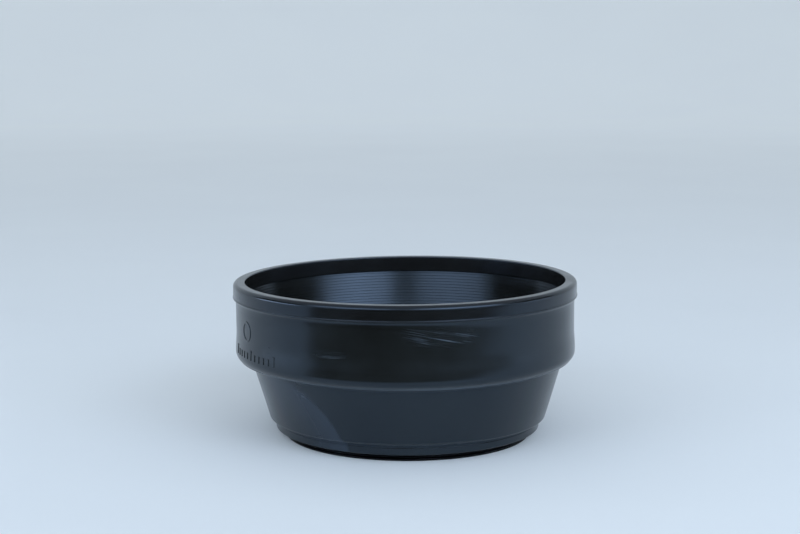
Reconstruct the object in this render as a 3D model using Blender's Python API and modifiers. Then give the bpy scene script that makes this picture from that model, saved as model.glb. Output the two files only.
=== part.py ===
"""Collapsible rubber lens hood on a screw-in metal mount.

The hood stands on its mount end, with its front opening facing +Z.
The origin is at the middle of the mount's lower face, on the optical axis.
Every piece is turned about that axis. Lengths in the outlines are in
millimetres and become metres when the piece is made.

The rubber is one moulding on the real hood. Here it is four solids, divided
where it folds: the front section (barrel and rim) slides down over the mount
while the cone between them folds.
"""

import math

import bmesh
import bpy

MM = 0.001
TURN_STEPS = 64         # facets round every turned piece
GAP = 0.3               # clearance between touching pieces

# Filter thread M77 x 0.75, which sets the scale of everything else.
THREAD_MAJOR_R = 38.5
THREAD_PITCH = 0.75
THREAD_DEPTH = 0.46
THREAD_LENGTH = 2.4
MOUNT_BORE_R = 36.9
FLANGE_R = 40.2
FLANGE_THICK = 1.2
MOUNT_TOP_Z = 8.8

# Rear cuff: the rubber that is held on the mount ring.
CUFF_R = 41.1
CUFF_TOP_Z = 8.6
LIP_TOP_Z = 6.7
CUFF_SHELF_Z = 6.3      # underside of the step out to the cone

# Clamp ring, which pins the cuff's lip to the flange.
CLAMP_R = 41.0
CLAMP_THICK = 1.4
NOTCH_COUNT = 2
NOTCH_WIDTH = 1.6
NOTCH_DEPTH = 0.8

# Cone wall, the part that folds.
CONE_BOTTOM_R = 43.1    # outer radius at the step above the cuff
CONE_BOTTOM_Z = 6.7
CONE_TOP_R = 48.3       # outer radius under the shoulder
CONE_TOP_Z = 23.1
RUBBER_THICK = 1.8

# Front barrel and its rolled shoulder.
BARREL_R = 52.65
SHOULDER_BULGE = 0.3
SHOULDER_BOTTOM_Z = 23.9
SHOULDER_ROLL = 3.1     # outer radius of the rolled edge
BULGE_TOP_Z = 31.0

# Front rim, a thicker bead with a flat face.
HOOD_HEIGHT = 48.5
RIM_HEIGHT = 5.2
RIM_R = 53.4
RIM_INNER_R = 49.8
RIM_EDGE = 1.4          # rounding of the rim's outer edge


def clear_scene():
    """Remove every object that a new Blender file starts with."""
    for item in list(bpy.data.objects):
        bpy.data.objects.remove(item, do_unlink=True)


def make_collection(name):
    """Make a collection in the scene and return it."""
    collection = bpy.data.collections.new(name)
    bpy.context.scene.collection.children.link(collection)
    return collection


def make_material(name, colour, roughness, metallic=0.0):
    """Make a Principled material from a linear colour."""
    material = bpy.data.materials.new(name)
    material.use_nodes = True
    shader = material.node_tree.nodes["Principled BSDF"]
    shader.inputs["Base Color"].default_value = (*colour, 1.0)
    shader.inputs["Roughness"].default_value = roughness
    shader.inputs["Metallic"].default_value = metallic
    return material


def arc(centre_r, centre_z, radius, start, end, steps):
    """Points of an arc in the (r, z) plane, angles in degrees from +r."""
    points = []
    for step in range(steps + 1):
        angle = math.radians(start + (end - start) * step / steps)
        points.append((
            centre_r + radius * math.cos(angle),
            centre_z + radius * math.sin(angle),
        ))
    return points


def cone_outer(z):
    """Outer radius of the cone at height z."""
    slope = (CONE_TOP_R - CONE_BOTTOM_R) / (CONE_TOP_Z - CONE_BOTTOM_Z)
    return CONE_BOTTOM_R + slope * (z - CONE_BOTTOM_Z)


def turned(name, outline, material, collection):
    """Turn a closed outline about +Z.

    The outline starts at the top of its outer side, runs down that side,
    in along the bottom and up the inner side.
    """
    mesh = bpy.data.meshes.new(name)
    points = [(r * MM, 0.0, z * MM) for r, z in outline]
    count = len(points)
    edges = [(i, (i + 1) % count) for i in range(count)]
    mesh.from_pydata(points, edges, [])
    piece = bpy.data.objects.new(name, mesh)
    collection.objects.link(piece)
    mesh.materials.append(material)
    screw = piece.modifiers.new("Turn", "SCREW")
    screw.axis = "Z"
    screw.angle = math.tau
    screw.steps = TURN_STEPS
    screw.render_steps = TURN_STEPS
    screw.use_merge_vertices = True
    screw.merge_threshold = 0.00001
    screw.use_smooth_shade = True
    return piece


def make_mount_ring(material, collection):
    """Screw-in ring: male filter thread, flange and the tube inside the cuff.

    The thread is cut as separate rings at its true pitch and depth.
    """
    flange_top = THREAD_LENGTH + FLANGE_THICK
    tube_r = THREAD_MAJOR_R
    root_r = THREAD_MAJOR_R - THREAD_DEPTH
    chamfer = 0.25
    outline = [
        (tube_r - chamfer, MOUNT_TOP_Z),
        (tube_r, MOUNT_TOP_Z - chamfer),
        (tube_r, flange_top),
        (FLANGE_R, flange_top),
        (FLANGE_R, THREAD_LENGTH),
    ]
    turns = int(THREAD_LENGTH / THREAD_PITCH)
    for turn in range(turns):
        crest_z = THREAD_LENGTH - turn * THREAD_PITCH
        outline.append((THREAD_MAJOR_R, crest_z))
        outline.append((THREAD_MAJOR_R, crest_z - THREAD_PITCH / 4))
        outline.append((root_r, crest_z - THREAD_PITCH * 5 / 8))
    outline += [
        (root_r, chamfer / 2),
        (root_r - chamfer / 2, 0.0),
        (MOUNT_BORE_R + chamfer, 0.0),
        (MOUNT_BORE_R, chamfer),
        (MOUNT_BORE_R, MOUNT_TOP_Z - chamfer),
        (MOUNT_BORE_R + chamfer, MOUNT_TOP_Z),
    ]
    return turned("mount_ring", outline, material, collection)


def make_clamp_ring(material, collection, cutters):
    """Flat ring over the cuff's lip, with notches for a pin spanner."""
    inner_r = THREAD_MAJOR_R + GAP
    bottom_z = LIP_TOP_Z + GAP
    top_z = bottom_z + CLAMP_THICK
    chamfer = 0.2
    outline = [
        (CLAMP_R - chamfer, top_z),
        (CLAMP_R, top_z - chamfer),
        (CLAMP_R, bottom_z),
        (inner_r, bottom_z),
        (inner_r, top_z),
    ]
    ring = turned("clamp_ring", outline, material, collection)
    for number in range(NOTCH_COUNT):
        angle = math.tau * number / NOTCH_COUNT
        middle_r = (inner_r + CLAMP_R) / 2 * MM
        cutter = make_box_cutter(
            f"notch_cutter_{number + 1}",
            (4.0 * MM, NOTCH_WIDTH * MM, 2 * NOTCH_DEPTH * MM),
            (middle_r * math.cos(angle), middle_r * math.sin(angle), top_z * MM),
            angle,
            cutters,
        )
        cut = ring.modifiers.new(f"Notch {number + 1}", "BOOLEAN")
        cut.operation = "DIFFERENCE"
        cut.solver = "EXACT"
        cut.object = cutter
    return ring


def make_box_cutter(name, size, location, angle, cutters):
    """Make a box that only cuts, turned about +Z by an angle."""
    mesh = bpy.data.meshes.new(name)
    shape = bmesh.new()
    bmesh.ops.create_cube(shape, size=1.0)
    bmesh.ops.scale(shape, vec=size, verts=shape.verts)
    shape.to_mesh(mesh)
    shape.free()
    cutter = bpy.data.objects.new(name, mesh)
    cutter.location = location
    cutter.rotation_euler = (0.0, 0.0, angle)
    cutter.hide_render = True
    cutter.display_type = "WIRE"
    cutters.objects.link(cutter)
    return cutter


def make_rear_cuff(material, collection):
    """Rubber cuff: wraps the flange, with a lip that the clamp ring holds."""
    flange_top = THREAD_LENGTH + FLANGE_THICK
    lip_r = THREAD_MAJOR_R + GAP
    rounding = 0.5
    outline = [
        (cone_outer(CUFF_TOP_Z), CUFF_TOP_Z),
        (CONE_BOTTOM_R, CONE_BOTTOM_Z),
        (CONE_BOTTOM_R - rounding, CUFF_SHELF_Z),
        (CUFF_R - 0.3, CUFF_SHELF_Z - 0.2),
        (CUFF_R - 0.3, CUFF_SHELF_Z - 0.7),
        (CUFF_R, CUFF_SHELF_Z - 1.0),
    ]
    outline += arc(
        CUFF_R - rounding / 2, THREAD_LENGTH + rounding / 2, rounding / 2, 0, -90, 2
    )
    outline += [
        (FLANGE_R + GAP, THREAD_LENGTH),
        (FLANGE_R + GAP, flange_top + GAP),
        (lip_r, flange_top + GAP),
        (lip_r, LIP_TOP_Z),
        (CLAMP_R + GAP, LIP_TOP_Z),
        (cone_outer(CUFF_TOP_Z) - RUBBER_THICK, CUFF_TOP_Z),
    ]
    return turned("rear_cuff", outline, material, collection)


def make_cone_wall(material, collection):
    """Tapered rubber wall between the cuff and the shoulder."""
    bottom_z = CUFF_TOP_Z + GAP
    rows = 4
    outer = []
    for row in range(rows + 1):
        z = CONE_TOP_Z + (bottom_z - CONE_TOP_Z) * row / rows
        outer.append((cone_outer(z), z))
    inner = [(r - RUBBER_THICK, z) for r, z in reversed(outer)]
    return turned("cone_wall", outer + inner, material, collection)


def make_front_barrel(material, collection):
    """Cylindrical rubber wall with the rolled shoulder at its lower end."""
    top_z = HOOD_HEIGHT - RIM_HEIGHT - GAP
    bulge_r = BARREL_R + SHOULDER_BULGE
    roll_r = bulge_r - SHOULDER_ROLL
    roll_z = SHOULDER_BOTTOM_Z + SHOULDER_ROLL
    inner_roll = SHOULDER_ROLL - RUBBER_THICK
    shelf_r = CONE_TOP_R - RUBBER_THICK
    shelf_z = CONE_TOP_Z + GAP
    outline = [(BARREL_R, top_z), (BARREL_R, BULGE_TOP_Z)]
    outline += arc(roll_r, roll_z, SHOULDER_ROLL, 0, -90, 6)
    outline += [
        (CONE_TOP_R, shelf_z),
        (shelf_r, shelf_z),
        (shelf_r, shelf_z + RUBBER_THICK),
    ]
    outline += arc(roll_r, roll_z, inner_roll, -90, 0, 3)
    outline += [
        (BARREL_R - RUBBER_THICK, BULGE_TOP_Z),
        (BARREL_R - RUBBER_THICK, top_z),
    ]
    return turned("front_barrel", outline, material, collection)


def make_front_rim(material, collection):
    """Thick bead round the front opening, with a flat front face."""
    bottom_z = HOOD_HEIGHT - RIM_HEIGHT
    step_r = 0.6
    outline = arc(
        RIM_R - RIM_EDGE, HOOD_HEIGHT - RIM_EDGE, RIM_EDGE, 90, 0, 4
    )
    outline += arc(RIM_R - step_r, bottom_z + step_r, step_r, 0, -60, 2)
    outline += [
        (BARREL_R, bottom_z),
        (RIM_INNER_R, bottom_z),
        (RIM_INNER_R, HOOD_HEIGHT - 0.3),
        (RIM_INNER_R + 0.3, HOOD_HEIGHT),
    ]
    return turned("front_rim", outline, material, collection)


def main():
    """Build the hood."""
    clear_scene()
    parts = make_collection("lens_hood")
    cutters = make_collection("lens_hood_cutters")
    rubber = make_material("moulded_rubber", (0.012, 0.017, 0.022), 0.5)
    rim_rubber = make_material("moulded_rubber_rim", (0.009, 0.012, 0.015), 0.45)
    metal = make_material("black_anodised_aluminium", (0.02, 0.02, 0.022), 0.35, 0.9)

    mount = bpy.data.objects.new("mount", None)
    front = bpy.data.objects.new("front_section", None)
    for empty in (mount, front):
        parts.objects.link(empty)

    fixed = [
        make_mount_ring(metal, parts),
        make_clamp_ring(metal, parts, cutters),
        make_rear_cuff(rubber, parts),
        make_cone_wall(rubber, parts),
    ]
    sliding = [
        make_front_barrel(rubber, parts),
        make_front_rim(rim_rubber, parts),
    ]
    for piece in fixed:
        piece.parent = mount
    for piece in sliding:
        piece.parent = front


main()
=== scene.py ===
"""Looks of a collapsible rubber lens hood on a screw-in metal mount.

The hood stands on its thread with its front opening facing up. Six turned
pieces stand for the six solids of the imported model, each made from an outline
in millimetres. The rubber is one moulding, so its four pieces overlap a
little where they meet, and each meeting is at a crease of the real hood.

Lengths are in millimetres in the outlines, and in metres in the materials and
on the stage.
"""

import math

import bpy
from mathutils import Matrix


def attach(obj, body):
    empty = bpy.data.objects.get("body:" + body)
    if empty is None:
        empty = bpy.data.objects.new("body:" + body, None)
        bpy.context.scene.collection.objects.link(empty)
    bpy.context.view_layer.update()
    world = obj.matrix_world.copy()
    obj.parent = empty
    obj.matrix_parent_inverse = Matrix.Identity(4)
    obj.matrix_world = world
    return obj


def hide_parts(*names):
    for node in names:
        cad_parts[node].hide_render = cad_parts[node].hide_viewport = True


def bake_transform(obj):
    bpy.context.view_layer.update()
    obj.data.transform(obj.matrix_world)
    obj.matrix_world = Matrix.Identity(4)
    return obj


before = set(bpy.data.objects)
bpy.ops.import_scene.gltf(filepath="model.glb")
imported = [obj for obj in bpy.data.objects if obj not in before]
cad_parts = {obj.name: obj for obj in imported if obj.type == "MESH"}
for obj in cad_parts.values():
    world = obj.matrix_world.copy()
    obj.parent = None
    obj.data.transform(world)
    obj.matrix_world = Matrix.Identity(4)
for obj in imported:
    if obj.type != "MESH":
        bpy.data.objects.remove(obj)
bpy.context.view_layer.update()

MM = 0.001
TURN_COLUMNS = 384          # columns of vertices round a turned piece
EVEN_COLUMNS = [math.tau * step / TURN_COLUMNS for step in range(TURN_COLUMNS)]
CREASE = math.radians(35)   # faces that meet at more than this are creased

# Heights between which the rubber folds.
FOLD_START_Z = 8.75
FOLD_END_Z = 23.4

HOOD_HEIGHT = 48.5

# How the soft front has settled. Its lean is a rise of the rim for each mm to
# the right and each mm to the back, and its swell is a share of the radius.
CONE_SHARE = 0.35           # share of the settling that the cone takes up
LEAN_RIGHT = 0.0082
LEAN_BACK = -0.00165
LEAN_TWIST = 0.00007        # change of the lean to the right for each mm to the back
OVAL_SWELL = 0.0016
THREE_SIDED_SWELL = 0.0009
RIM_ASIDE = 0.3             # how much further left the rim is than the cuff
FRONT_ASIDE = -0.55         # the barrel and rim sit half a millimetre to the left

# Edges that rub on things, rubbed grey and lightened further as painted highlight
# lines; where the cone leaves the rolled edge this is painted light over a shaded
# crease: radius and height in mm, reach in mm, amount.
CHAFED_AND_HIGHLIT_EDGES = [
    (53.50, 43.85, 0.26, 0.03),     # lip of the rim
    (51.60, 24.42, 0.30, 0.26),     # lip of the rolled edge
    (48.55, 23.45, 0.30, 0.30),     # where the cone leaves the rolled edge
    (43.30, 6.05, 0.28, 0.04),      # foot of the cone
    (49.90, 48.40, 0.25, 0.12),     # inner edge of the front face
]


# ---------------------------------------------------------------- outlines

def smooth_step(low, high, value):
    """Ease from 0 at low to 1 at high."""
    share = min(max((value - low) / (high - low), 0.0), 1.0)
    return share * share * (3 - 2 * share)


def rounded(corners, arc_steps=6):
    """Points of an outline whose corners (r, z, radius) are rounded.

    A point just outside each arc keeps the flats beside it shaded flat.
    """
    points = []
    count = len(corners)
    for index, (r, z, radius) in enumerate(corners):
        if radius <= 0:
            points.append((r, z))
            continue
        before = corners[index - 1]
        after = corners[(index + 1) % count]
        in_r, in_z = before[0] - r, before[1] - z
        out_r, out_z = after[0] - r, after[1] - z
        in_length = math.hypot(in_r, in_z)
        out_length = math.hypot(out_r, out_z)
        in_r, in_z = in_r / in_length, in_z / in_length
        out_r, out_z = out_r / out_length, out_z / out_length
        half = math.acos(max(-1.0, min(1.0, in_r * out_r + in_z * out_z))) / 2
        reach = radius / math.tan(half)
        middle_r, middle_z = in_r + out_r, in_z + out_z
        middle_length = math.hypot(middle_r, middle_z)
        centre_r = r + middle_r / middle_length * radius / math.sin(half)
        centre_z = z + middle_z / middle_length * radius / math.sin(half)
        start = math.atan2(z + in_z * reach - centre_z, r + in_r * reach - centre_r)
        end = math.atan2(z + out_z * reach - centre_z, r + out_r * reach - centre_r)
        sweep = (end - start + math.pi) % math.tau - math.pi
        beside = reach + 0.3 * radius
        if beside < in_length * 0.5:
            points.append((r + in_r * beside, z + in_z * beside))
        for step in range(arc_steps + 1):
            angle = start + sweep * step / arc_steps
            points.append((
                centre_r + radius * math.cos(angle),
                centre_z + radius * math.sin(angle),
            ))
        if beside < out_length * 0.5:
            points.append((r + out_r * beside, z + out_z * beside))
    return points


def filled(points, spacing):
    """Add points along the long runs of an outline."""
    result = []
    count = len(points)
    for index, (r, z) in enumerate(points):
        next_r, next_z = points[(index + 1) % count]
        parts = max(1, math.ceil(math.hypot(next_r - r, next_z - z) / spacing))
        for part in range(parts):
            share = part / parts
            result.append((r + (next_r - r) * share, z + (next_z - z) * share))
    return result


def settled(x, y, z):
    """Where a point of the soft hood lies after years on a shelf.

    The front opening leans half a degree and is slightly out of round, and
    this grows from nothing at the cuff to its full amount at the rim.
    """
    height = CONE_SHARE * smooth_step(FOLD_START_Z, FOLD_END_Z, z)
    height += (1 - CONE_SHARE) * smooth_step(FOLD_END_Z - 2, HOOD_HEIGHT, z)
    angle = math.atan2(y, x)
    swell = 1 + height * (
        OVAL_SWELL * math.sin(2 * angle + 0.6)
        + THREE_SIDED_SWELL * math.sin(3 * angle + 2.1)
    )
    lean = height * (x * (LEAN_RIGHT + LEAN_TWIST * y) + LEAN_BACK * y)
    return x * swell - RIM_ASIDE * height, y * swell, z + lean


def chafe_and_highlight_at(r, z):
    """How far the rubber's edges are rubbed grey, and lightened as painted highlight
    lines, at a place of the outline.
    """
    most = 0.0
    for edge_r, edge_z, reach, amount in CHAFED_AND_HIGHLIT_EDGES:
        distance = math.hypot(r - edge_r, z - edge_z) / reach
        most = max(most, amount * math.exp(-distance * distance))
    return most


def turned_piece(name, outline, shape=None, columns=None, blocks=(), aside=0.0):
    """Turn a closed outline about +Z into a piece.

    The outline runs down its outer side and up its inner side. The shape
    function moves a point (r, z) of the outline at each angle, and columns
    are the angles, if they aren't even. Blocks are raised marks, as (points
    in r, angle and z; faces). The whole piece sits aside along X.
    """
    columns = columns or EVEN_COLUMNS
    rows = len(outline)
    places = []
    for angle in columns:
        for r, z in outline:
            if shape:
                r, z = shape(r, z, angle)
            places.append((r, angle, z))
    faces = []
    turns = len(columns)
    for turn in range(turns):
        here = turn * rows
        beside = (turn + 1) % turns * rows
        for row in range(rows):
            below = (row + 1) % rows
            faces.append((here + row, here + below, beside + below, beside + row))
    for block_places, block_faces in blocks:
        first = len(places)
        places += block_places
        faces += [[first + corner for corner in face] for face in block_faces]
    vertices = [
        [length * MM for length in settled(r * math.cos(a) + aside, r * math.sin(a), z)]
        for r, a, z in places
    ]
    mesh = bpy.data.meshes.new(name)
    mesh.from_pydata(vertices, [], faces)
    mesh.polygons.foreach_set("use_smooth", [True] * len(faces))
    mesh.set_sharp_from_angle(angle=CREASE)
    # Points of the blocks come last: they get no chafe and no painted highlight, and
    # face outwards.
    block_points = len(places) - rows * turns
    chafe_and_highlight_layer = mesh.attributes.new("chafe_and_highlight", "FLOAT", "POINT")
    by_row = [chafe_and_highlight_at(r, z) for r, z in outline]
    chafe_and_highlight_layer.data.foreach_set("value", by_row * turns + [0.0] * block_points)
    # 1 on the outer side, where the outline runs down, and 0 on the inner.
    outer = mesh.attributes.new("outer_side", "FLOAT", "POINT")
    by_row = [
        float(outline[(row + 1) % rows][1] - outline[row - 1][1] < 0.001)
        for row in range(rows)
    ]
    outer.data.foreach_set("value", by_row * turns + [1.0] * block_points)
    piece = bpy.data.objects.new(name, mesh)
    bpy.context.scene.collection.objects.link(piece)
    return piece


# --------------------------------------------------------------- materials

def colour(code):
    """Turn an sRGB hex colour into the linear colour that shaders use."""
    channels = [int(code[i:i + 2], 16) / 255 for i in (1, 3, 5)]
    return (*[
        c / 12.92 if c <= 0.04045 else ((c + 0.055) / 1.055) ** 2.4
        for c in channels
    ], 1.0)


def add_node(tree, kind, settings=(), **inputs):
    """Add a node with its settings, input values and links.

    An input is named for its socket with _ for spaces, or in0, in1, … by its
    place. Its value is a number, a colour, a vector or another node's output.
    """
    node = tree.nodes.new(kind)
    for key, value in dict(settings).items():
        setattr(node, key, value)
    for key, value in inputs.items():
        if key.startswith("in") and key[2:].isdigit():
            socket = node.inputs[int(key[2:])]
        else:
            socket = node.inputs[key.replace("_", " ")]
        if isinstance(value, bpy.types.NodeSocket):
            tree.links.new(value, socket)
        else:
            socket.default_value = value
    return node


def start_material(name, roughness, metallic=0.0):
    """Make a material and return it with its tree, shader and place."""
    material = bpy.data.materials.new(name)
    material.use_nodes = True
    tree = material.node_tree
    shader = tree.nodes["Principled BSDF"]
    shader.inputs["Roughness"].default_value = roughness
    shader.inputs["Metallic"].default_value = metallic
    place = add_node(tree, "ShaderNodeTexCoord").outputs["Object"]
    return material, tree, shader, place


# Radius at which the hood's outside is laid flat for its scuffs and its film.
FLAT_RADIUS = 0.0528
# Where handling scuffed the rubber: centre and half size in metres on the
# hood laid flat, and the tilt of the strokes in radians.
SCUFFED_OVALS = [
    ((0.0085, 0.0, 0.0396), (0.0150, 1.0, 0.0040), math.radians(10)),
    ((-0.0235, 0.0, 0.0338), (0.0070, 1.0, 0.0018), math.radians(-4)),
    ((-0.0670, 0.0, 0.0460), (0.0120, 1.0, 0.0028), math.radians(35)),
]
# Where the painted reflection patch lies on the hood laid flat, in metres.
REFLECTION_PATCH_CENTRE = (-0.0515, 0.0, -0.0063)
REFLECTION_PATCH_RADIUS = 0.030


def moulded_rubber(name, black, film, roughness, dust_share):
    """Black carbon-filled rubber from a steel mould, years old.

    The eye gets a near-black, faintly blue satin with an even fine grain, a
    greyish film that lies in soft patches, faint rings from the mould's
    turning, a few specks of dust and dull scuffs where it was handled. Its
    edges are rubbed grey and lightened further as painted highlight lines, and
    a lighter patch with a curved edge on the cone is a painted reflection.
    """
    material, tree, shader, place = start_material(name, roughness)
    shader.inputs["IOR"].default_value = 1.52
    # The film scatters blue more than red, so reflections turn cool.
    shader.inputs["Specular Tint"].default_value = colour("#c2deff")

    # Patches of film, about 20 mm across.
    patches = add_node(
        tree, "ShaderNodeTexNoise",
        Vector=place, Scale=52.0, Detail=4.0, Roughness=0.55,
    ).outputs["Fac"]
    # Rings 0.5 mm apart in height and centimetres long.
    ring_place = add_node(
        tree, "ShaderNodeMapping", Vector=place, Scale=(18.0, 18.0, 1900.0)
    ).outputs["Vector"]
    rings = add_node(
        tree, "ShaderNodeTexNoise",
        Vector=ring_place, Scale=1.0, Detail=3.0, Roughness=0.6,
    ).outputs["Fac"]
    # The mould's spark-eroded grain, 0.25 mm across.
    grain = add_node(
        tree, "ShaderNodeTexNoise",
        Vector=place, Scale=3600.0, Detail=2.0, Roughness=0.6,
    ).outputs["Fac"]

    # Front of the hood laid flat: x is the length round it, z the height.
    axes = add_node(tree, "ShaderNodeSeparateXYZ", Vector=place)
    forward = add_node(
        tree, "ShaderNodeMath", {"operation": "MULTIPLY"},
        in0=axes.outputs["Y"], in1=-1.0,
    ).outputs[0]
    angle = add_node(
        tree, "ShaderNodeMath", {"operation": "ARCTAN2"},
        in0=axes.outputs["X"], in1=forward,
    ).outputs[0]
    round_length = add_node(
        tree, "ShaderNodeMath", {"operation": "MULTIPLY"}, in0=angle, in1=FLAT_RADIUS
    ).outputs[0]
    flat_place = add_node(
        tree, "ShaderNodeCombineXYZ", X=round_length, Z=axes.outputs["Z"]
    ).outputs["Vector"]

    outer_side = add_node(
        tree, "ShaderNodeAttribute", {"attribute_name": "outer_side"}
    ).outputs["Fac"]

    # Scuffs: strokes 14 mm long and 0.45 mm wide, each group inside an oval.
    scuff_marks = None
    for centre, half_size, tilt in SCUFFED_OVALS:
        oval = add_node(
            tree, "ShaderNodeMapping", {"vector_type": "POINT"}, Vector=flat_place,
            Location=tuple(-c / h for c, h in zip(centre, half_size)),
            Scale=tuple(1 / h for h in half_size),
        ).outputs["Vector"]
        from_centre = add_node(
            tree, "ShaderNodeVectorMath", {"operation": "LENGTH"}, in0=oval
        ).outputs["Value"]
        inside = add_node(
            tree, "ShaderNodeMapRange", {"interpolation_type": "SMOOTHSTEP"},
            Value=from_centre, From_Min=1.0, From_Max=0.35,
        ).outputs["Result"]
        stroke_place = add_node(
            tree, "ShaderNodeMapping", {"vector_type": "TEXTURE"}, Vector=flat_place,
            Rotation=(0.0, tilt, 0.0), Scale=(14 * MM, 10 * MM, 0.45 * MM),
        ).outputs["Vector"]
        strokes = add_node(
            tree, "ShaderNodeTexNoise", Vector=stroke_place, Scale=1.0, Detail=1.5
        ).outputs["Fac"]
        thin = add_node(
            tree, "ShaderNodeMapRange",
            Value=strokes, From_Min=0.54, From_Max=0.84, To_Min=0.03,
        ).outputs["Result"]
        marks = add_node(
            tree, "ShaderNodeMath", {"operation": "MULTIPLY"}, in0=thin, in1=inside
        ).outputs[0]
        if scuff_marks is None:
            scuff_marks = marks
        else:
            scuff_marks = add_node(
                tree, "ShaderNodeMath", {"operation": "MAXIMUM"},
                in0=scuff_marks, in1=marks,
            ).outputs[0]
    scuff_marks = add_node(
        tree, "ShaderNodeMath", {"operation": "MULTIPLY"},
        in0=scuff_marks, in1=outer_side,
    ).outputs[0]

    # Dust: specks 0.3 mm across in cells of 3 mm, most cells empty.
    cells = add_node(
        tree, "ShaderNodeTexVoronoi", Vector=place, Scale=330.0, Randomness=1.0
    )
    speck = add_node(
        tree, "ShaderNodeMapRange", Value=cells.outputs["Distance"],
        From_Min=0.07, From_Max=0.04,
    ).outputs["Result"]
    kept = add_node(
        tree, "ShaderNodeMapRange", Value=cells.outputs["Color"],
        From_Min=1 - dust_share, From_Max=1.001 - dust_share,
    ).outputs["Result"]
    dust = add_node(
        tree, "ShaderNodeMath", {"operation": "MULTIPLY"}, in0=speck, in1=kept
    ).outputs[0]

    # Painted reflection: a lighter patch on the left of the cone, with a clear curved
    # edge, that fades inside the edge.
    reflection_patch_place = add_node(
        tree, "ShaderNodeMapping", {"vector_type": "TEXTURE"}, Vector=flat_place,
        Location=REFLECTION_PATCH_CENTRE, Scale=(REFLECTION_PATCH_RADIUS, 1.0, REFLECTION_PATCH_RADIUS),
    ).outputs["Vector"]
    from_centre = add_node(
        tree, "ShaderNodeVectorMath", {"operation": "LENGTH"}, in0=reflection_patch_place
    ).outputs["Value"]
    behind = add_node(
        tree, "ShaderNodeMapRange", Value=from_centre, From_Min=0.45, From_Max=0.97
    ).outputs["Result"]
    edge = add_node(
        tree, "ShaderNodeMapRange", {"interpolation_type": "SMOOTHSTEP"},
        Value=from_centre, From_Min=1.03, From_Max=0.95, To_Max=0.85,
    ).outputs["Result"]
    painted_reflection = add_node(
        tree, "ShaderNodeMath", {"operation": "MULTIPLY"}, in0=behind, in1=edge
    ).outputs[0]
    painted_reflection = add_node(
        tree, "ShaderNodeMath", {"operation": "MULTIPLY"}, in0=painted_reflection, in1=outer_side
    ).outputs[0]

    # The chafe and its painted highlight lines come and go along an edge, in lengths of
    # some centimetres.
    chafe_and_highlight = add_node(
        tree, "ShaderNodeAttribute", {"attribute_name": "chafe_and_highlight"}
    ).outputs["Fac"]
    lengths = add_node(
        tree, "ShaderNodeMapRange", Value=rings,
        From_Min=0.3, From_Max=0.7, To_Min=0.6, To_Max=1.0,
    ).outputs["Result"]
    chafe_and_highlight = add_node(
        tree, "ShaderNodeMath", {"operation": "MULTIPLY"}, in0=chafe_and_highlight, in1=lengths
    ).outputs[0]

    # Colour: black under its film and hairlines, then in turn the painted reflection
    # patch, the scuffs, the chafed edges with their painted highlight lines, and the
    # dust.
    film_share = add_node(
        tree, "ShaderNodeMapRange", Value=patches, From_Min=0.34, From_Max=0.70
    ).outputs["Result"]
    hairlines = add_node(
        tree, "ShaderNodeMapRange",
        Value=rings, From_Min=0.35, From_Max=0.70, To_Max=0.7,
    ).outputs["Result"]
    film_share = add_node(
        tree, "ShaderNodeMath", {"operation": "ADD"}, in0=film_share, in1=hairlines
    ).outputs[0]
    base = add_node(
        tree, "ShaderNodeMix", {"data_type": "RGBA"}, Factor=film_share,
        in6=colour(black), in7=colour(film),
    ).outputs[2]
    marks_and_painted_light = (
        (painted_reflection, "#272d35"), (scuff_marks, "#4b5661"),
        (chafe_and_highlight, "#8d99a3"), (dust, "#6d757b"),
    )
    for share, grey in marks_and_painted_light:
        base = add_node(
            tree, "ShaderNodeMix", {"data_type": "RGBA"}, Factor=share,
            in6=base, in7=colour(grey),
        ).outputs[2]
    tree.links.new(base, shader.inputs["Base Color"])

    # Film, rings and scuffs each change the gloss a little.
    worn = add_node(
        tree, "ShaderNodeMapRange", Value=patches,
        From_Min=0.3, From_Max=0.75, To_Min=roughness - 0.05, To_Max=roughness + 0.07,
    ).outputs["Result"]
    ringed = add_node(
        tree, "ShaderNodeMapRange", Value=rings, To_Min=-0.02, To_Max=0.02
    ).outputs["Result"]
    rough = add_node(
        tree, "ShaderNodeMath", {"operation": "ADD"}, in0=worn, in1=ringed
    ).outputs[0]
    rough = add_node(
        tree, "ShaderNodeMath", {"operation": "MULTIPLY_ADD"},
        in0=scuff_marks, in1=0.2, in2=rough,
    ).outputs[0]
    tree.links.new(rough, shader.inputs["Roughness"])

    # Relief: the grain, the mould's rings and the standing specks of dust.
    relief = add_node(
        tree, "ShaderNodeBump", Strength=0.12, Distance=0.05 * MM, Height=grain
    ).outputs["Normal"]
    relief = add_node(
        tree, "ShaderNodeBump",
        Strength=0.04, Distance=0.05 * MM, Height=rings, Normal=relief,
    ).outputs["Normal"]
    relief = add_node(
        tree, "ShaderNodeBump",
        Strength=0.5, Distance=0.08 * MM, Height=dust, Normal=relief,
    ).outputs["Normal"]
    tree.links.new(relief, shader.inputs["Normal"])
    return material


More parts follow.
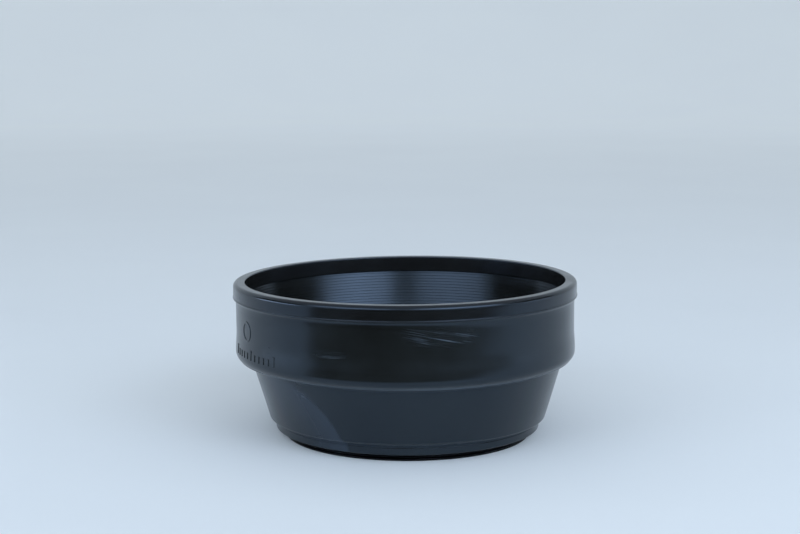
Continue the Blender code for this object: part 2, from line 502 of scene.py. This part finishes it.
def black_anodised_aluminium():
    """Turned aluminium, etched, dyed black and sealed.

    The eye gets a charcoal metal with a soft sheen and rings from the lathe.
    """
    material, tree, shader, place = start_material(
        "black_anodised_aluminium", roughness=0.36, metallic=1.0
    )
    # Lathe rings, 0.12 mm feed drawn at 0.3 mm so that they show.
    ring_place = add_node(
        tree, "ShaderNodeMapping", Vector=place, Scale=(12.0, 12.0, 3300.0)
    ).outputs["Vector"]
    rings = add_node(
        tree, "ShaderNodeTexNoise", Vector=ring_place, Scale=1.0, Detail=2.0
    ).outputs["Fac"]
    # The etch's fine pits, 0.2 mm across, and the dye's slow drift.
    etch = add_node(
        tree, "ShaderNodeTexNoise", Vector=place, Scale=5200.0, Detail=2.0
    ).outputs["Fac"]
    dye = add_node(
        tree, "ShaderNodeTexNoise", Vector=place, Scale=60.0, Detail=3.0
    ).outputs["Fac"]
    base = add_node(
        tree, "ShaderNodeMix", {"data_type": "RGBA"}, Factor=dye,
        in6=colour("#1d1e21"), in7=colour("#26272b"),
    ).outputs[2]
    tree.links.new(base, shader.inputs["Base Color"])
    rough = add_node(
        tree, "ShaderNodeMapRange", Value=rings, To_Min=0.28, To_Max=0.46
    ).outputs["Result"]
    tree.links.new(rough, shader.inputs["Roughness"])
    relief = add_node(
        tree, "ShaderNodeBump", Strength=0.2, Distance=0.03 * MM, Height=etch
    ).outputs["Normal"]
    relief = add_node(
        tree, "ShaderNodeBump",
        Strength=0.25, Distance=0.03 * MM, Height=rings, Normal=relief,
    ).outputs["Normal"]
    tree.links.new(relief, shader.inputs["Normal"])
    return material


def matt_paper():
    """Uncoated pale paper, rolled out: flat, with faint soft clouds, and a painted glow
    that grows towards its far edge.
    """
    material, tree, shader, place = start_material("matt_paper", roughness=0.85)
    clouds = add_node(
        tree, "ShaderNodeTexNoise", Vector=place, Scale=7.0, Detail=3.0
    ).outputs["Fac"]
    base = add_node(
        tree, "ShaderNodeMix", {"data_type": "RGBA"}, Factor=clouds,
        in6=colour("#dde4e9"), in7=colour("#e2e9ed"),
    ).outputs[2]
    tree.links.new(base, shader.inputs["Base Color"])
    shader.inputs["Specular IOR Level"].default_value = 0.2
    # The far paper glows a little, as painted light, from 0 at the hood to full at 1.7
    # m.
    from_hood = add_node(
        tree, "ShaderNodeVectorMath", {"operation": "LENGTH"}, in0=place
    ).outputs["Value"]
    paper_glow = add_node(
        tree, "ShaderNodeMapRange", Value=from_hood, From_Max=1.7, To_Max=0.19
    ).outputs["Result"]
    tree.links.new(paper_glow, shader.inputs["Emission Strength"])
    shader.inputs["Emission Color"].default_value = colour("#e9f0f5")
    return material


rubber = moulded_rubber(
    "moulded_rubber", black="#101110", film="#171918", roughness=0.22, dust_share=0.035
)
rim_rubber = moulded_rubber(
    "moulded_rubber_rim", black="#0f0f0f", film="#141515", roughness=0.20,
    dust_share=0.08,
)
aluminium = black_anodised_aluminium()


# ------------------------------------------------------------------ rubber

RIM_R = 53.4
RIM_INNER_R = 49.8
RIM_LOWER_Z = 43.6
RIM_LIP_HEIGHT = 0.42       # moulded lip along the lower edge of the rim
RIM_LIP_OUT = 0.14
RIM_LIP_RADIUS = 0.192
WALL_R = 52.62
FLARE_Z = 40.9              # below this the wall no longer flares to the rim
BULGE_Z = 33.5              # below this the wall swells towards the rolled edge
RIB_PITCH = 0.98
RIB_DEPTH = 0.26
RIB_LOWEST_Z = 28.1
RIB_HIGHEST_Z = 43.3
# One light-trap tooth: share of the pitch and of the depth. Its long face
# looks up and inwards, and its short face looks down.
RIB_TOOTH = [
    (0.0, 0.0), (0.012, 0.92), (0.03, 0.99), (0.06, 0.98), (0.12, 0.92),
    (0.35, 0.67), (0.60, 0.40), (0.85, 0.14), (0.97, 0.02),
]
RIB_BASE_R = 50.85
ROLL_R = 49.85              # centre of the rolled edge, and its radius
ROLL_Z = 27.0
ROLL_RADIUS = 3.1
ROLL_END = math.radians(-50)
ROLL_LIP_ANGLE = math.radians(-57)
ROLL_LIP_REACH = 2.95       # centre of the lip, from the rolled edge's centre
ROLL_LIP_RADIUS = 0.30
CONE_BOTTOM_R = 43.35
CONE_BOTTOM_Z = 6.1
CONE_TOP_R = 48.5
CONE_TOP_Z = 23.5           # where the cone meets the rolled edge
CONE_HIDDEN_TOP_Z = 24.6    # how far it reaches up inside the barrel
RUBBER_THICK = 1.8
CUFF_R = 41.3
CUFF_GROOVE_R = 41.2
CUFF_BOTTOM_Z = 2.4
FILL_SPACING = 1.2          # longest face along the long runs of an outline

rim_bead = turned_piece("rubber_rim_bead", filled(rounded([
    (RIM_R, HOOD_HEIGHT, 1.3),
    (RIM_R, RIM_LOWER_Z + 0.62, 0.15),
    (RIM_R + RIM_LIP_OUT, RIM_LOWER_Z + RIM_LIP_HEIGHT, RIM_LIP_RADIUS),
    (RIM_R + RIM_LIP_OUT, RIM_LOWER_Z, RIM_LIP_RADIUS),
    (RIM_INNER_R, RIM_LOWER_Z, 0.2),
    (RIM_INNER_R, HOOD_HEIGHT, 0.35),
], arc_steps=8), FILL_SPACING), aside=FRONT_ASIDE)


def wall_radius(z):
    """Outer radius of the barrel, which swells towards the rolled edge."""
    swell = ROLL_R + ROLL_RADIUS - WALL_R
    return WALL_R + swell * smooth_step(BULGE_Z, ROLL_Z + 0.5, z)


MARK_HEIGHT = 0.16          # how far the raised marks stand out
MARK_SUNK = -0.15           # how far they reach into the wall


def raised_block(angle, low_z, high_z, width):
    """Plain raised block on the barrel's wall, with sloping sides."""
    places = []
    slope = 0.07
    levels = ((0.0, MARK_SUNK), (0.0, MARK_HEIGHT / 2), (slope, MARK_HEIGHT))
    for inset, lift in levels:
        half = (width / 2 - inset) / WALL_R
        low, high = low_z + inset, high_z - inset
        for side, z in ((-1, low), (1, low), (1, high), (-1, high)):
            places.append((wall_radius(z) + lift, angle + side * half, z))
    faces = [(3, 2, 1, 0), (8, 9, 10, 11)]
    for level in (0, 4):
        for corner in range(4):
            after = (corner + 1) % 4
            faces.append((
                level + corner, level + after, level + 4 + after, level + 4 + corner
            ))
    return places, faces


def raised_ring(angle, z, radius, width):
    """Plain raised ring on the barrel's wall."""
    turns = 40
    # Cross-section: share of the width from the middle, and height.
    section = (
        (-0.5, MARK_SUNK), (-0.5, MARK_HEIGHT / 2), (-0.3, MARK_HEIGHT),
        (0.3, MARK_HEIGHT), (0.5, MARK_HEIGHT / 2), (0.5, MARK_SUNK),
    )
    places = []
    for turn in range(turns):
        about = math.tau * turn / turns
        for across, lift in section:
            reach = radius + across * width
            high = z + reach * math.sin(about)
            places.append((
                wall_radius(high) + lift, angle + reach * math.cos(about) / WALL_R, high
            ))
    faces = []
    rows = len(section)
    for turn in range(turns):
        here = turn * rows
        beside = (turn + 1) % turns * rows
        for row in range(rows):
            above = (row + 1) % rows
            faces.append((here + row, here + above, beside + above, beside + row))
    return places, faces


def moulded_marks():
    """Plain raised marks at the left: one ring, and a row of short ticks.

    Every fifth tick is 1 mm taller.
    """
    front = -math.pi / 2
    marks = [raised_ring(front - math.radians(64.5), z=35.9, radius=2.8, width=0.7)]
    tick_low_z, tick_high_z = 27.6, 29.6
    for number in range(11):
        angle = front - math.radians(75.0 - 2.8 * number)
        high_z = tick_high_z + 1 if number % 5 == 0 else tick_high_z
        marks.append(raised_block(angle, tick_low_z, high_z, width=0.80))
    return marks


def barrel_outline():
    """Outline of the barrel: flare, wall, bulge, rolled edge, inside ribs."""
    points = [(52.2, 44.7), (53.0, 44.2)]       # hidden inside the rim
    flare_steps = 20
    flare_height = RIM_LOWER_Z + 0.1 - FLARE_Z
    for step in range(flare_steps + 1):
        share = 1 - step / flare_steps
        # A long slow flare, and a short one right under the rim.
        flare = 0.32 * share ** 2 + 0.42 * share ** 9
        points.append((WALL_R + flare, FLARE_Z + flare_height * share))
    wall_steps = 12
    for step in range(1, wall_steps):
        z = FLARE_Z - (FLARE_Z - ROLL_Z) * step / wall_steps
        points.append((wall_radius(z), z))
    roll_steps = 16
    for step in range(roll_steps + 1):
        angle = ROLL_END * step / roll_steps
        points.append((
            ROLL_R + ROLL_RADIUS * math.cos(angle),
            ROLL_Z + ROLL_RADIUS * math.sin(angle),
        ))
    # Moulded lip where the rolled edge ends.
    lip_r = ROLL_R + ROLL_LIP_REACH * math.cos(ROLL_LIP_ANGLE)
    lip_z = ROLL_Z + ROLL_LIP_REACH * math.sin(ROLL_LIP_ANGLE)
    for step in range(10):
        angle = math.radians(28 - 19 * step)
        points.append((
            lip_r + ROLL_LIP_RADIUS * math.cos(angle),
            lip_z + ROLL_LIP_RADIUS * math.sin(angle),
        ))
    # Underside of the rolled edge, in to the cone and up behind it.
    points += [(50.6, 24.16), (49.8, 24.02), (49.2, 23.86), (48.75, 23.66)]
    points += [(48.2, 23.4), (47.4, 23.4), (46.6, 24.2)]
    points += [(46.7, 25.2), (47.6, 25.6), (48.6, 25.68)]
    inner_roll = ROLL_RADIUS - RUBBER_THICK
    for step in range(7):
        angle = -math.pi / 2 * (1 - step / 6)
        points.append((
            ROLL_R + inner_roll * math.cos(angle),
            ROLL_Z + inner_roll * math.sin(angle),
        ))
    points.append((RIB_BASE_R + 0.2, RIB_LOWEST_Z - 0.5))
    z = RIB_LOWEST_Z
    while z < RIB_HIGHEST_Z:
        for share, depth in RIB_TOOTH:
            points.append((RIB_BASE_R - RIB_DEPTH * depth, z + RIB_PITCH * share))
        z += RIB_PITCH
    points += [(RIB_BASE_R, z), (RIB_BASE_R, 44.5)]
    return points


barrel = turned_piece(
    "rubber_barrel", barrel_outline(), blocks=moulded_marks(), aside=FRONT_ASIDE
)


def cone_outline():
    """Outline of the cone, which reaches into the barrel and the cuff."""
    rows = 34
    outer = [(47.9, CONE_HIDDEN_TOP_Z), (CONE_TOP_R, 24.2)]
    for row in range(rows + 1):
        share = row / rows
        outer.append((
            CONE_TOP_R + (CONE_BOTTOM_R - CONE_TOP_R) * share,
            CONE_TOP_Z + (CONE_BOTTOM_Z + 0.15 - CONE_TOP_Z) * share,
        ))
    # Rounded foot, then in to the cuff.
    outer += [(43.3, 6.06), (43.18, 5.88), (43.0, 5.76), (42.7, 5.7), (41.0, 5.55)]
    inner = [(41.05, 5.9), (41.3, 6.1)]
    inner_height = CONE_HIDDEN_TOP_Z - CONE_BOTTOM_Z - 0.25
    for row in range(rows + 1):
        share = row / rows
        inner.append((
            CONE_BOTTOM_R - RUBBER_THICK + (CONE_TOP_R - CONE_BOTTOM_R) * share + 0.05,
            CONE_BOTTOM_Z + 0.25 + inner_height * share,
        ))
    return outer + inner


cone = turned_piece("rubber_cone", cone_outline())

# Outside with its groove, the pocket for the flange, and the inner lip.
cuff = turned_piece("rubber_cuff", filled(rounded([
    (41.9, 6.4, 0),
    (41.9, 5.75, 0),
    (CUFF_GROOVE_R, 5.45, 0.1),
    (CUFF_GROOVE_R, 4.6, 0.1),
    (CUFF_R, 4.45, 0.1),
    (CUFF_R, CUFF_BOTTOM_Z, 0.3),
    (40.25, CUFF_BOTTOM_Z, 0.05),
    (40.25, 3.65, 0),
    (38.55, 3.65, 0),
    (38.55, 6.7, 0.2),
    (41.32, 6.7, 0),
]), FILL_SPACING))


# ------------------------------------------------------------------- metal

THREAD_R = 38.5
THREAD_PITCH = 0.75
THREAD_DEPTH = 0.46
THREAD_LENGTH = 2.4
FLANGE_R = 40.2
FLANGE_TOP_Z = 3.6
BORE_R = 36.9
TUBE_TOP_Z = 8.8


def cut_thread(r, z, angle):
    """Cut the outer wall below the flange to a one-start screw thread."""
    if r < THREAD_R - 0.6 or not 0.02 < z < THREAD_LENGTH - 0.02:
        return r, z
    phase = (z / THREAD_PITCH - angle / math.tau) % 1.0
    groove = max(0.0, 1 - abs(phase - 0.5) / 0.4)
    # Shallower at both ends, with a lead-in at the very end.
    ends = smooth_step(0.0, 0.3, z) * smooth_step(THREAD_LENGTH, THREAD_LENGTH - 0.3, z)
    lead_in = 0.25 * (1 - smooth_step(0.0, 0.35, z))
    return THREAD_R - lead_in - THREAD_DEPTH * groove * max(ends, 0.35), z


thread_rows = 32
mount_outline = rounded([
    (THREAD_R, TUBE_TOP_Z, 0.2),
    (THREAD_R, FLANGE_TOP_Z, 0),
    (FLANGE_R, FLANGE_TOP_Z, 0.1),
    (FLANGE_R, THREAD_LENGTH, 0.1),
])
mount_outline += [
    (THREAD_R, THREAD_LENGTH * (1 - row / thread_rows)) for row in range(thread_rows)
]
mount_outline += [(THREAD_R - 0.25, 0.0), (37.6, 0.0), (37.2, 0.0)]
mount_outline += [(36.98, 0.08), (BORE_R, 0.3), (BORE_R, 4.5), (BORE_R, 8.5)]
mount_outline += [(36.98, 8.72), (37.2, TUBE_TOP_Z)]
mount_ring = turned_piece("metal_mount_ring", mount_outline, cut_thread)

CLAMP_R = 41.0
CLAMP_INNER_R = 38.8
CLAMP_TOP_Z = 8.4
CLAMP_BOTTOM_Z = 7.0
NOTCH_DEPTH = 0.8
NOTCH_HALF_ANGLE = 0.8 / 39.9   # notches 1.6 mm wide at the middle of the ring


def cut_notches(r, z, angle):
    """Lower the clamp ring's top in its two spanner notches."""
    from_notch = abs((angle + math.pi / 2) % math.pi - math.pi / 2)
    if z > CLAMP_BOTTOM_Z + 0.3 and from_notch < NOTCH_HALF_ANGLE:
        z -= NOTCH_DEPTH
    return r, z


# The even columns, and two close together at each wall of each notch.
clamp_columns = sorted(EVEN_COLUMNS + [
    (side * (NOTCH_HALF_ANGLE + edge) + half) % math.tau
    for half in (0.0, math.pi)
    for side in (1, -1)
    for edge in (0.0004, -0.0004)
])
clamp_ring = turned_piece("metal_clamp_ring", filled(rounded([
    (CLAMP_R, CLAMP_TOP_Z, 0.2),
    (CLAMP_R, CLAMP_BOTTOM_Z, 0.1),
    (CLAMP_INNER_R, CLAMP_BOTTOM_Z, 0.1),
    (CLAMP_INNER_R, CLAMP_TOP_Z, 0.2),
]), 0.8), cut_notches, columns=clamp_columns)

PIECES = [
    # piece, solid it stands for, body, slot, material
    (rim_bead, "front_rim", "front_section", "moulded_rubber_rim", rim_rubber),
    (barrel, "front_barrel", "front_section", "moulded_rubber", rubber),
    (cone, "cone_wall", None, "moulded_rubber", rubber),
    (cuff, "rear_cuff", "mount", "moulded_rubber", rubber),
    (mount_ring, "mount_ring", "mount", "black_anodised_aluminium", aluminium),
    (clamp_ring, "clamp_ring", "mount", "black_anodised_aluminium", aluminium),
]
for piece, node, body, slot, material in PIECES:
    piece.data.materials.append(material)
    if body:
        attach(piece, body)
    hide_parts(node)
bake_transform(cone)


# ------------------------------------------------------------------- stage

def pale_floor():
    """Round pale floor, whose far edge curves up all the way round."""
    flat_radius, curve, wall_top = 1.8, 1.2, 2.2
    profile = [(0.0, 0.0), (0.25, 0.0), (0.6, 0.0), (1.2, 0.0), (flat_radius, 0.0)]
    curve_steps = 16
    for step in range(1, curve_steps + 1):
        angle = math.pi / 2 * step / curve_steps
        profile.append((
            flat_radius + curve * math.sin(angle), curve * (1 - math.cos(angle))
        ))
    profile.append((flat_radius + curve, wall_top))
    turns = 96
    vertices = [(0.0, 0.0, 0.0)]
    for turn in range(turns):
        angle = math.tau * turn / turns
        for r, z in profile[1:]:
            vertices.append((r * math.cos(angle), r * math.sin(angle), z))
    rows = len(profile) - 1
    faces = []
    for turn in range(turns):
        here = 1 + turn * rows
        beside = 1 + (turn + 1) % turns * rows
        faces.append((0, here, beside))
        for row in range(rows - 1):
            faces.append((here + row, here + row + 1, beside + row + 1, beside + row))
    mesh = bpy.data.meshes.new("floor")
    mesh.from_pydata(vertices, [], faces)
    mesh.polygons.foreach_set("use_smooth", [True] * len(faces))
    floor = bpy.data.objects.new("floor", mesh)
    bpy.context.scene.collection.objects.link(floor)
    mesh.materials.append(matt_paper())


def dark_cards():
    """Cards that only reflections see.

    One lies in front of the hood and three stand at its front and sides, and
    they keep the middle and the sides of the rubber dark.
    """
    material, _, shader, _ = start_material("matt_black_card", roughness=1.0)
    shader.inputs["Base Color"].default_value = colour("#08090a")
    shader.inputs["Specular IOR Level"].default_value = 0.0
    lying = [
        (-0.115, -0.072), (0.0, -0.105), (0.20, -0.165), (0.60, -0.17),
        (1.3, -0.40), (1.3, -1.5), (-1.2, -1.5), (-1.2, -0.75),
    ]
    corners = [(x, y, 0.001) for x, y in lying]
    faces = [tuple(reversed(range(len(lying))))]
    standing = [
        # two lower corners, then the bottom's and the top's height
        ((-0.85, -1.2), (0.45, -1.2), 0.002, 0.22),
        ((-1.0, 0.45), (-1.0, -0.35), 0.15, 0.62),
        ((1.0, -0.35), (1.0, 0.45), 0.15, 0.62),
    ]
    for (x0, y0), (x1, y1), low, high in standing:
        first = len(corners)
        corners += [(x0, y0, low), (x1, y1, low), (x1, y1, high), (x0, y0, high)]
        faces.append((first, first + 1, first + 2, first + 3))
    mesh = bpy.data.meshes.new("dark_cards")
    mesh.from_pydata(corners, [], faces)
    cards = bpy.data.objects.new("dark_cards", mesh)
    bpy.context.scene.collection.objects.link(cards)
    mesh.materials.append(material)
    cards.visible_camera = False
    cards.visible_diffuse = False
    cards.visible_shadow = False
    cards.visible_transmission = False


def soft_light(name, place, target, size, power, tint):
    """Rectangular softbox at a place, turned towards a target.

    Lengths are in metres and the power is in watts. The camera doesn't see it.
    """
    light = bpy.data.lights.new(name, "AREA")
    light.shape = "RECTANGLE"
    light.size, light.size_y = size
    light.energy = power
    light.color = colour(tint)[:3]
    lamp = bpy.data.objects.new(name, light)
    bpy.context.scene.collection.objects.link(lamp)
    lamp.visible_camera = False
    lamp.location = place
    aim = [t - p for p, t in zip(place, target)]
    flat = math.hypot(aim[0], aim[1])
    lamp.rotation_euler = (
        math.atan2(flat, -aim[2]), 0.0, math.atan2(-aim[0], aim[1])
    )
    return lamp


pale_floor()
dark_cards()
HOOD_FOOT = (0.0, 0.0, 0.0)
HOOD_MIDDLE = (0.0, 0.0, 0.03)
# Two keys at the front: the broad bright lobes on the left and on the right.
for name, x, power in (("key_left", -0.54, 0.80), ("key_right", 0.54, 1.45)):
    key = soft_light(
        name, (x, -0.72, 0.52), HOOD_MIDDLE, size=(0.95, 0.50), power=power,
        tint="#dfecff",
    )
    key.data.spread = math.radians(90)
# Two low lamps at the sides, which light only reflections.
for name, x, power in (("side_left", -0.90, 1.2), ("side_right", 0.90, 0.35)):
    side = soft_light(
        name, (x, 0.0, 0.08), HOOD_MIDDLE, size=(0.60, 0.14), power=power,
        tint="#d6e8ff",
    )
    side.visible_diffuse = False
soft_light(
    "overhead", (0.0, 0.0, 2.4), HOOD_FOOT, size=(8.0, 8.0), power=34.0, tint="#f0f6ff"
)
# A fill that evens out the floor in front, and that no reflection shows.
front_fill = soft_light(
    "front_fill", (0.0, -1.50, 0.48), HOOD_FOOT, size=(1.6, 0.4), power=1.2,
    tint="#e6f1ff",
)
front_fill.visible_glossy = False
front_fill.data.spread = math.radians(35)

world = bpy.data.worlds.new("studio")
bpy.context.scene.world = world
world.use_nodes = True
surroundings = world.node_tree.nodes["Background"]
surroundings.inputs["Color"].default_value = colour("#e0e5eb")
surroundings.inputs["Strength"].default_value = 0.46

lens = bpy.data.cameras.new("camera")
lens.lens = 73.87
lens.sensor_width = 36.0
lens.clip_start = 0.01
camera = bpy.data.objects.new("camera", lens)
bpy.context.scene.collection.objects.link(camera)
camera.location = (-0.00237, -0.5069, 0.1255)
camera.rotation_euler = (math.radians(81.75), 0.0, 0.0)
bpy.context.scene.camera = camera
bpy.context.scene.view_settings.view_transform = "Standard"
